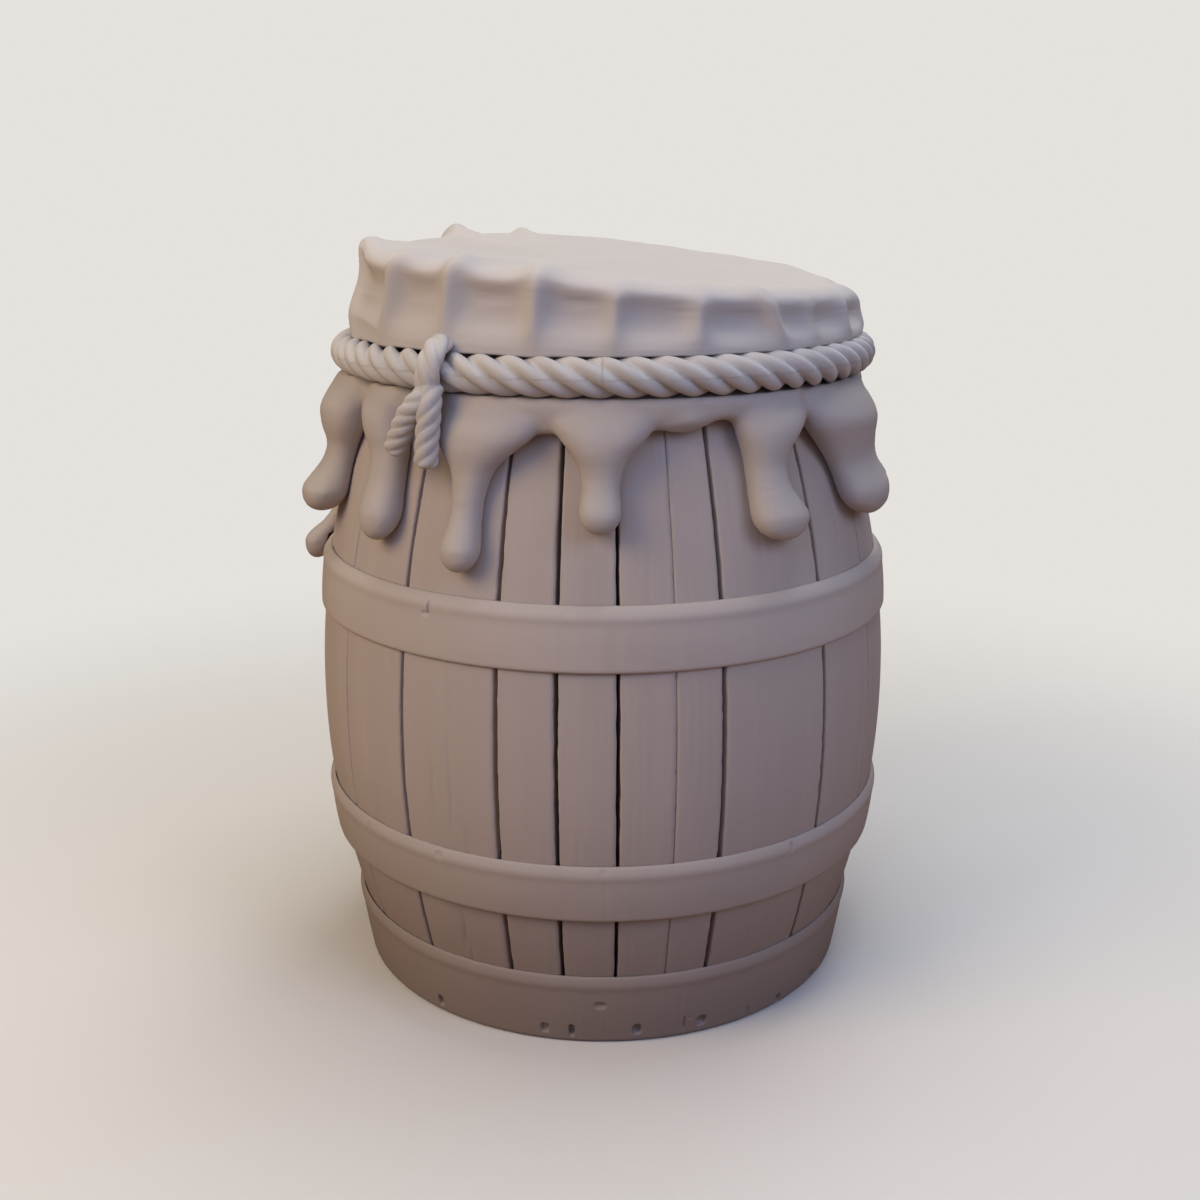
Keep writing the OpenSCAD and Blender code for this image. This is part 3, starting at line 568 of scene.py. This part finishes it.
def collarGrid():
    # A ring whose section is laid out from the staves; it is thinner between the runs
    a = np.arange(0, 360, wax["collarStep"])
    places = np.array(wax["collarPlaces"], float)
    A, K = np.meshgrid(a, np.arange(len(places)), indexing="ij")
    ease = 0.5 + 0.5 * waves(np.cos(np.radians(A)) * 9, np.sin(np.radians(A)) * 90, 5, 4, 1, 0.05)
    outward, height = places[K, 0], places[K, 1]
    low = np.clip((wax["edgeTop"] - height) / wax["edgeBlend"], 0, 1)
    drawn = sum(rise * softRidge(turnFrom(A, angle), wide) for angle, wide, rise in wax["edges"])
    thin = sum(share * softRidge(turnFrom(A, angle), wide)
               for angle, wide, share in wax["thins"])
    least, swing = wax["thinner"]
    R = staveAt(height) + outward * (least + swing * ease) * (1 - thin)
    return around(A, R, height + (drawn - wax["edgeWave"] * (ease - 0.5)) * low)


def meltTogether(parts):
    # The union of the closed parts on a voxel grid, softened, then pressed onto its bed
    mesh = bpy.data.meshes.new("waxParts")
    points, faces, offset = [], [], 0
    for partPoints, partFaces in parts:
        points.append(partPoints.reshape(-1, 3))
        faces += [[int(corner) + offset for corner in face] for face in partFaces]
        offset += len(points[-1])
    mesh.from_pydata((np.concatenate(points) * mm).tolist(), [], faces)
    lump = bpy.data.objects.new("waxParts", mesh)
    bpy.context.scene.collection.objects.link(lump)
    remesh = lump.modifiers.new("melt", "REMESH")
    remesh.mode, remesh.voxel_size = "VOXEL", wax["voxel"] * mm
    soften = lump.modifiers.new("soften", "SMOOTH")
    soften.factor, soften.iterations = 0.5, wax["smooth"]
    made = bpy.data.meshes.new_from_object(lump.evaluated_get(
        bpy.context.evaluated_depsgraph_get()))
    bpy.data.objects.remove(lump)
    place = np.empty(len(made.vertices) * 3)
    made.vertices.foreach_get("co", place)
    place = place.reshape(-1, 3) / mm
    quads = np.empty(len(made.polygons) * 4, int)
    made.polygons.foreach_get("vertices", quads)
    outward = np.empty(len(made.vertices) * 3)
    made.vertices.foreach_get("normal", outward)
    return place + outward.reshape(-1, 3) * wax["swell"], quads.reshape(-1, 4)


ring = collarGrid()
parts = [(ring, gridFaces(*ring.shape[:2], ringRows=True, ringColumns=True))]
parts += [runGrid(lowest, rows) for lowest, rows in wax["runs"].values()]
place, quads = meltTogether(parts)
radius = np.hypot(place[:, 0], place[:, 1])
bed = waxBed(place[:, 2]) + wax["gap"]
pressed = np.maximum(radius, bed)
# Under the rope the wax stops at the rope's round underside
ropeRadius, ropeHeight = wax["rope"]
under = np.clip(wax["ropeReach"] ** 2 - (pressed - ropeRadius) ** 2, 0, None)
place[:, 2] = np.where((under > 0) & (place[:, 2] > wax["ropeFrom"]), np.minimum(
    place[:, 2], ropeHeight - np.sqrt(under) - wax["ropeGap"]), place[:, 2])
# Faint unevenness, as if smoothed by hand
hand = waves(np.degrees(np.arctan2(place[:, 0], -place[:, 1])), place[:, 2] * 30, 77, 6, 0.35,
             0.02)
pressed = np.where(radius > bed + 2, pressed + wax["hand"] * hand, pressed)
place[:, :2] *= (pressed / radius)[:, None]
makePiece("waxSeal", place, quads, "sealWax", "keg",
          ["wax_collar"] + [f"wax_run_{k:02d}" for k in range(1, 13)])
print("wax made", len(quads))


# ---- rope: a laid section carried along a path
rope = {"height": 398.5, "radius": 158.5, "diameter": 22, "turns": 14.75, "step": 1.05,
        "section": 56, "strand": 0.455, "uvAround": 0.07, "pieceStep": 0.6,
        "endCurve": (2.6, 0.42), "endRadius": 0.02,
        # The bight over the ring: its angle, how far its middle stands off, then at each point
        # the tilt up from straight outwards and the lean to the right, in degrees
        "knotAngle": -32.9, "knotOff": 4.6,
        "tilts": (118, 100, 82, 64, 44, 22, 0, -20, -38, -52),
        "leans": (-1.6, -0.9, -0.3, 0.1, 0.3, 0.3, 0.1, -0.4, -0.9, -1.1),
        # Diameter, lay length, flatness, first turn, bluntness of the ends, strand's share
        "bight": (15.8, 46, 0.64, 1.9, 0.4, 0.6), "tail": (14, -33, 0.96, 1.2, 0.34, 0.64),
        # The tails' points: angle, distance beyond the radius tailRadius, height
        "tailRadius": 177.2,
        "tails": {
            "tailLeft": ("rope_tail_left", [
                (-32.9, -6, 390), (-34.0, -0.6, 384.5), (-36.4, 1.0, 376), (-38.6, 0.4, 365),
                (-40.8, -0.4, 354)]),
            "tailRight": ("rope_tail_right", [
                (-32.8, -7, 394), (-32.1, -1.6, 384), (-32.3, -0.6, 372), (-32.7, -0.2, 360),
                (-33.1, -0.6, 348)])}}


def laidRadius(theta, strand):
    # Outer edge of four round strands side by side, as a share of the rope's radius
    nearest = (theta + math.pi / 4) % (math.pi / 2) - math.pi / 4
    away = 1 - strand
    return away * np.cos(nearest) + np.sqrt(strand ** 2 - (away * np.sin(nearest)) ** 2)


def sweep(path, up, radius, twist, strand, flat=1, closed=False):
    # Section circle in the plane square to the path, its laid edge turned by twist
    tangent = (np.roll(path, -1, 0) - np.roll(path, 1, 0) if closed
               else np.gradient(path, axis=0))
    tangent /= np.linalg.norm(tangent, axis=1)[:, None]
    side = np.cross(tangent, up)
    side /= np.linalg.norm(side, axis=1)[:, None]
    lift = np.cross(side, tangent)
    v = np.linspace(0, 2 * math.pi, rope["section"], endpoint=False)
    edge = laidRadius(v[None, :] - twist[:, None], strand) * radius[:, None]
    across, high = edge * np.cos(v), edge * np.sin(v) * flat
    return path[:, None] + side[:, None] * across[..., None] + lift[:, None] * high[..., None]


def ropeUV(points, length, twist):
    # Across: the way round the section less the lay, so that streaks follow the strands
    rows, columns = points.shape[:2]
    u, v = np.meshgrid(np.linspace(0, length, rows), np.arange(columns) / columns,
                       indexing="ij")
    return np.stack([(v - twist[:, None] / (2 * math.pi)) * rope["uvAround"], u * mm], -1)


turnLength = 2 * math.pi * rope["radius"]
count = int(turnLength / rope["step"])
a = np.linspace(0, 360, count, endpoint=False)
path = around(a, rope["radius"], rope["height"])
lay = -np.radians(a) * rope["turns"]
ringRope = sweep(path, np.tile([0, 0, 1.0], (count, 1)), np.full(count, rope["diameter"] / 2),
                 lay, rope["strand"], closed=True)
makePiece("ropeRing", ringRope, gridFaces(*ringRope.shape[:2], ringRows=True, ringColumns=True),
          "ropeHemp", "cover", ["rope"], ropeUV(ringRope, turnLength, lay))


def ropePiece(name, node, path, up, make):
    # Evenly spaced points on a smooth curve through the path, closed by round ends
    diameter, pitch, flat, start, blunt, strand = make
    path, up = np.asarray(path, float), np.asarray(up, float)
    knots = np.concatenate([[0], np.cumsum(np.linalg.norm(np.diff(path, axis=0), axis=1))])
    length = knots[-1]
    s = np.linspace(0, length, int(length / rope["pieceStep"]))
    curve = np.stack([smoothRow(s, knots, path[:, k]) for k in range(3)], -1)
    ups = np.stack([smoothRow(s, knots, up[:, k]) for k in range(3)], -1)
    r = diameter / 2
    near = np.minimum(s, length - s) / (r * blunt * 2)
    inner, outer = rope["endCurve"]
    radius = r * np.clip(1 - (1 - np.clip(near, 0, 1)) ** inner, 0, 1) ** outer
    radius[[0, -1]] = rope["endRadius"]
    lay = start + 2 * math.pi * s / pitch
    points = sweep(curve, ups, radius, lay, strand, flat)
    makePiece(name, points, tubeFaces(*points.shape[:2]), "ropeHemp", "cover", [node],
              ropeUV(points, length, lay))


def overRope(angle, tilt, reach, lean=0.0):
    # A point round the ring rope: tilt is counted up from straight outwards
    t = np.radians(tilt)
    return around(angle + lean, rope["radius"] + reach * np.cos(t),
                  rope["height"] + reach * np.sin(t))


knotAngle, knotReach = rope["knotAngle"], rope["diameter"] / 2 + rope["knotOff"]
knotPath = [overRope(knotAngle, tilt, knotReach, lean)
            for tilt, lean in zip(rope["tilts"], rope["leans"])]
knotUp = [overRope(knotAngle, tilt, 1) - overRope(knotAngle, tilt, 0) for tilt in rope["tilts"]]
ropePiece("knotBight", "rope_knot", knotPath, knotUp, rope["bight"])
for name, (node, places) in rope["tails"].items():
    tailPath = [around(angle, rope["tailRadius"] + beyond, height)
                for angle, beyond, height in places]
    # Up is away from the keg's axis
    tailUp = [p * [1, 1, 0] / np.linalg.norm(p[:2]) for p in tailPath]
    ropePiece(name, node, tailPath, tailUp, rope["tail"])
print("rope made")


# ---- cloth cover: one sheet over the lid, pleated down its side and tied in by the rope
cover = {"radius": 157.2, "mid": 451.8, "lean": 13, "back": 5, "saddle": 3, "thickness": 3,
         "flat": 0.435, "area": 0.1486, "wrap": 11.3, "hem": 391.5,
         "columns": 960, "valley": 10.5, "rimShare": 0.87, "curl": 12.5, "proud": 2.2,
         "bulge": 2.4, "crease": 0.16, "sway": 0.8,
         # Hollows are shallower round the first angle and run lowest round the second
         "ease": (78, 40, 0.4), "longFold": (286, 26),
         # Where the rim stands higher or lower: angle, half width, rise
         "swells": [(62, 26, 3.4), (118, 22, 3.6), (-116, 20, -3.4)],
         # Least radius low down, where the lid's edge stands behind, and high up
         "least": (148.6, 143), "leastHeights": (434, 441),
         "softness": 6,
         # Where the side is drawn in or out: angle, half width, at the rim, below it, low down
         "draws": [(-84, 16, -1.5, -9.5, -2.4), (80, 18, 0.2, 0.4, 1.6)],
         # Pleats: angles at the rim and the rope, horn height and width, ridge width, strength
         "pleats": [(-104, -88, 2.0, 8, 4.6, 0.9), (-86, -71, 6.0, 8, 4.4, 1.0),
                    (-48, -52, 5.4, 4.0, 3.2, 1.0), (-31.5, -33.5, 6.6, 3.9, 3.0, 1.0),
                    (-13, -14, 5.0, 4.4, 3.0, 0.95), (3, 1.5, 0.6, 4, 3.0, 0.75),
                    (20, 18.5, 0.8, 4, 3.4, 0.85), (34, 39.5, 2.4, 3.4, 2.8, 1.0),
                    (47.5, 49, 0.8, 3.5, 2.8, 0.65), (62, 63.5, 1.4, 4.2, 3.4, 1.0),
                    (81.5, 82.5, 1.8, 4.5, 3.6, 1.0), (101, 100, 0.6, 5, 4.0, 0.8),
                    (121, 121, 0.4, 5, 4.0, 0.8), (141, 142, 0.6, 5, 4.0, 0.8),
                    (161, 160, 0.3, 5, 4.0, 0.8), (180, 181, 0.6, 5, 4.0, 0.9),
                    (203.5, 203, 5, 2.6, 4.0, 1), (224, 225, 9, 2.9, 4.0, 1),
                    (239, 240, 0.8, 5, 4.0, 0.8)],
         # Rows of the top, the rim, the side and the part round the rope
         "rows": (34, 19, 44, 18),
         # Down the sheet: places K, then the values there. The hollow is how deep the cloth
         # falls in between two pleats; at the far left the pleats run all the way down
         "curves": {
             "hollow": ([-0.15, 0, 0.4, 0.7, 0.95, 1.15, 1.32, 1.5, 1.7, 1.88, 2, 2.4, 3.1],
                        [0, 0, 0.05, 0.24, 0.66, 0.96, 1, 0.78, 0.38, 0.16, 0.12, 0.14, 0.14]),
             "longFold": ([-1, 1.2, 1.8, 2, 3.1], [0, 0, 0.5, 0.4, 0]),
             "proud": ([-0.3, 0.2, 1, 1.5, 1.9, 3.1], [0, 0.7, 1, 0.5, 0, 0]),
             "bulge": ([-1, 1.2, 1.45, 1.65, 1.8, 1.92, 2, 2.04, 3.1],
                       [0, 0, 0.55, 0.95, 1.05, 1, 0.75, 0, 0]),
             "horn": ([-0.34, -0.1, 0.15, 0.5, 1, 1.3, 1.6, 3.1],
                      [0, 0.3, 0.85, 1, 0.7, 0.2, 0, 0]),
             "crease": ([-0.1, 0.3, 0.9, 1.2, 1.5, 3.1], [0, 0.5, 1, 0.8, 0, 0])}}


def rimAt(a, s=1.0):
    # Height of the cover at a share s of its radius: a leaning, saddled plane
    r = np.radians(a)
    swell = sum(rise * softRidge(turnFrom(a, angle), wide)
                for angle, wide, rise in cover["swells"])
    return (cover["mid"] - cover["lean"] * s * np.sin(r) - cover["back"] * s * np.cos(r)
            + cover["saddle"] * s * s * np.cos(2 * r) + swell * s ** 3)


def coverGrid():
    # Rows go from the middle of the top over the rim and down to the hem behind the rope: K is
    # below 0 on the top, 0 to 1 round the rim, 1 to 2 down the side and 2 to 3 round the rope
    a = np.linspace(0, 360, cover["columns"], endpoint=False)
    rimShare, curl, R0 = cover["rimShare"], cover["curl"], cover["radius"]
    top, *others = cover["rows"]
    rows = np.concatenate([np.linspace(0.02, rimShare, top) - rimShare] + [
        start + np.linspace(0, 1, count)[1:] for start, count in enumerate(others)])
    A, K = np.meshgrid(a, rows)
    curve = {name: smoothRow(K, *places) for name, places in cover["curves"].items()}
    onTop, down, tucked = K <= 0, np.clip(K - 1, 0, 1), np.clip(K - 2, 0, 1)
    # Between pleats the share that is left of the fall is a product of (1 - pleat) over all
    slack, horn = 1 + 0 * A, 0 * A
    for atRim, atRope, height, hornWide, wide, strength in cover["pleats"]:
        centre = atRim + (atRope - atRim) * np.clip(K - 0.5, 0, 1.5) / 1.5
        away = turnFrom(A, centre)
        slack = slack * (1 - strength * (1 + (away / wide) ** 2) ** -1.2)
        horn = horn + height * softRidge(away, hornWide)
    ridge = 1 - slack
    quarter = np.clip(K, 0, 1) * math.pi / 2
    rimHeight = rimAt(A)
    hollow = np.where(K < cover["curves"]["hollow"][0][0], 0, curve["hollow"])
    foldAt, foldWide = cover["longFold"]
    longFold = softRidge(A - foldAt, foldWide) * curve["longFold"]
    easeAt, easeWide, easeShare = cover["ease"]
    short = 1 - easeShare * softRidge(turnFrom(A, easeAt), easeWide)
    fall = cover["valley"] * slack * short * np.maximum(hollow, longFold)
    low, high = cover["leastHeights"]
    R = np.where(onTop, (K + rimShare) * R0,
                 rimShare * R0 + (1 - rimShare) * R0 * np.sin(quarter))
    R = R - fall + cover["proud"] * ridge * curve["proud"]
    for angle, half, atRim, below, lower in cover["draws"]:
        share = softRidge(turnFrom(A, angle), half)
        R = R + share * smoothRow(K, [-0.87, -0.3, 0.3, 1.15, 1.7, 2, 3.1],
                                  [0, 0.6 * atRim, atRim, below, lower, lower, 0])
    crest = rope["height"] + cover["wrap"]
    sideZ = rimHeight - curl - (rimHeight - curl - crest + 0.7) * down
    # The foot of the side bulges a little over the rope and then turns under
    R = R + cover["bulge"] * curve["bulge"]
    # The soft maximum of R and least: their mean and half the root of their gap squared
    # plus the softness
    least = np.interp(sideZ, (low, high), cover["least"])
    held = (R + least + np.sqrt((R - least) ** 2 + cover["softness"])) / 2
    R = np.where((K > 0.5) & (K <= 2), R + (held - R) * np.clip((K - 0.5) * 3, 0, 1), R)
    # At the rope the cloth follows its round back, from the crest to behind it, then hangs
    t = np.radians(95 + 100 * np.clip(tucked * 1.25, 0, 1))
    wrapR = rope["radius"] + cover["wrap"] * np.cos(t)
    wrapZ = rope["height"] + cover["wrap"] * np.sin(t)
    hang = np.clip(tucked * 5 - 4, 0, 1)
    R = np.where(K > 2, wrapR - fall, R)
    plane = rimAt(A, np.clip(K / rimShare + 1, 0, 1))
    Z = np.where(onTop, plane, rimHeight - curl * (1 - np.cos(quarter)))
    Z = np.where(K > 1, sideZ, Z)
    Z = np.where(K > 2, wrapZ + (cover["hem"] - wrapZ) * hang, Z)
    Z = Z + horn * curve["horn"]
    # Small sideways creases just under the rim, and a slow sway of the whole top
    arc = np.radians(A) * R0
    crease = waves(Z * 1.2, arc * 0.3, 31, 6, 0.9, 0.1)
    R = R + cover["crease"] * crease * curve["crease"]
    sway = np.sin(np.radians(A) * 2 + 1.2) * np.sin(math.pi * np.clip(K / rimShare + 1, 0, 1))
    Z = Z + np.where(onTop, cover["sway"] * sway, 0)
    return around(A, R, Z), np.stack([A / 360, (K + 1) * 0.1], -1)


# The middle of the top is one face, the hem is open, and the thickness closes the sheet
points, uv = coverGrid()
faces = tubeFaces(*points.shape[:2])[:-1]
cloth = makePiece("clothCover", points, [face[::-1] for face in faces], "coverCloth", "cover",
                  ["cloth_cover"], uv)
shell = cloth.modifiers.new("clothThickness", "SOLIDIFY")
shell.thickness, shell.offset = cover["thickness"] * mm, -1
print("cover made")


# ---- what stays as the frame has it: the lid, the bottom, the dowels, rivets and nails
kept = {"boardWood": [f"{place}_board_{k}" for place in ("lid", "bottom") for k in range(1, 6)]
        + ["lid_batten_front", "lid_batten_back", "bottom_dowels"],
        "nailIron": ["hoop_rivets", "lid_nails"]}
for finish, names in kept.items():
    for name in names:
        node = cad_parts[name]
        node.data.materials.clear()
        node.data.materials.append(material[finish])


# ---- floor, backdrop and light
studio = {"paper": (222, 218, 213), "bounce": (150, 118, 92), "far": (229, 226, 222),
          "near": 0.2, "reach": 1.0, "world": 0.2, "air": (245, 247, 255), "aim": (0, 0, 0.25),
          # Each lamp: place, size, power and colour
          "lamps": {"keyLamp": ((-1.25, -0.85, 1.25), 0.95, 16.4, (1, 0.75, 0.4)),
                    "frontLamp": ((-0.55, -1.35, 1.15), 0.95, 5.6, (0.3, 0.5, 1)),
                    "topLamp": ((0.1, 0.15, 1.6), 0.9, 10.9, (0.96, 1, 0.99)),
                    "coolLamp": ((1.2, -1.1, 1.2), 0.9, 9.6, (0.6, 0.68, 1)),
                    "backLamp": ((0.7, 1.5, 1.1), 0.9, 6.5, (1, 0.97, 0.94))}}
paperFinish = Finish("floorPaper")
# The paper looks pale, and throws less and warmer light back at the keg than it shows
seen = paperFinish.add("ShaderNodeLightPath", {}, {})
paperFinish.put(Base_Color=paperFinish.mix(seen, linear(*studio["bounce"]),
                                           linear(*studio["paper"])),
                Roughness=0.95, Specular_IOR_Level=0.1)
# Far from the keg its own even colour takes over from the lit paper
away = paperFinish.add("ShaderNodeVectorMath", {"operation": "LENGTH"}, [paperFinish.place()], 1)
far = paperFinish.add("ShaderNodeMapRange", {"interpolation_type": "SMOOTHSTEP"},
                      [away, studio["near"], studio["reach"], 0.0, 1.0])
even = paperFinish.add("ShaderNodeEmission", {}, [linear(*studio["far"]), 1.0])
lit = Wire(paperFinish, paperFinish.shader.outputs["BSDF"])
both = paperFinish.add("ShaderNodeMixShader", {}, [far * seen, lit, even])
paperFinish.feed(paperFinish.tree.nodes["Material Output"].inputs["Surface"], both)
# A cove: flat floor that curves up far behind the keg into an upright wall
cove = {"front": -6, "bend": 2.4, "radius": 1.6, "top": 7, "half": 9}
bendAngles = np.linspace(0, math.pi / 2, 24)
profile = ([(cove["front"], 0)] + [(cove["bend"] + cove["radius"] * math.sin(t),
           cove["radius"] * (1 - math.cos(t))) for t in bendAngles]
           + [(cove["bend"] + cove["radius"], cove["top"])])
floorMesh = bpy.data.meshes.new("floor")
floorMesh.from_pydata([(x, y, z) for y, z in profile for x in (-cove["half"], cove["half"])], [],
                      [(2 * k, 2 * k + 1, 2 * k + 3, 2 * k + 2) for k in range(len(profile) - 1)])
floorMesh.polygons.foreach_set("use_smooth", [True] * len(floorMesh.polygons))
floor = bpy.data.objects.new("floor", floorMesh)
floorMesh.materials.append(paperFinish.material)
bpy.context.scene.collection.objects.link(floor)

world = bpy.data.worlds.new("studioAir")
bpy.context.scene.world = world
world.use_nodes = True
airTree = world.node_tree
air = airTree.nodes["Background"]
air.inputs["Color"].default_value = linear(*studio["air"])
air.inputs["Strength"].default_value = studio["world"]
# The camera sees the same pale colour as the far paper, and nothing else is lit by it
backdrop = airTree.nodes.new("ShaderNodeBackground")
backdrop.inputs["Color"].default_value = linear(*studio["far"])
seenAir = airTree.nodes.new("ShaderNodeLightPath")
airMix = airTree.nodes.new("ShaderNodeMixShader")
for socket, target in ((seenAir.outputs["Is Camera Ray"], airMix.inputs[0]),
                       (air.outputs[0], airMix.inputs[1]),
                       (backdrop.outputs[0], airMix.inputs[2]),
                       (airMix.outputs[0], airTree.nodes["World Output"].inputs["Surface"])):
    airTree.links.new(socket, target)


def softLamp(name, place, size, power, colour):
    # A square lamp at place, turned to face the middle of the keg
    lamp = bpy.data.lights.new(name, "AREA")
    lamp.size, lamp.energy, lamp.color = size, power, colour
    lampObject = bpy.data.objects.new(name, lamp)
    lampObject.location = place
    direction = np.array(studio["aim"]) - np.array(place)
    yaw = math.atan2(direction[1], direction[0]) - math.pi / 2
    pitch = math.acos(-direction[2] / np.linalg.norm(direction))
    lampObject.rotation_euler = (pitch, 0, yaw)
    bpy.context.scene.collection.objects.link(lampObject)


for name, (place, size, power, colour) in studio["lamps"].items():
    softLamp(name, place, size, power, colour)
bpy.context.scene.view_settings.view_transform = "Standard"
print("studio set")
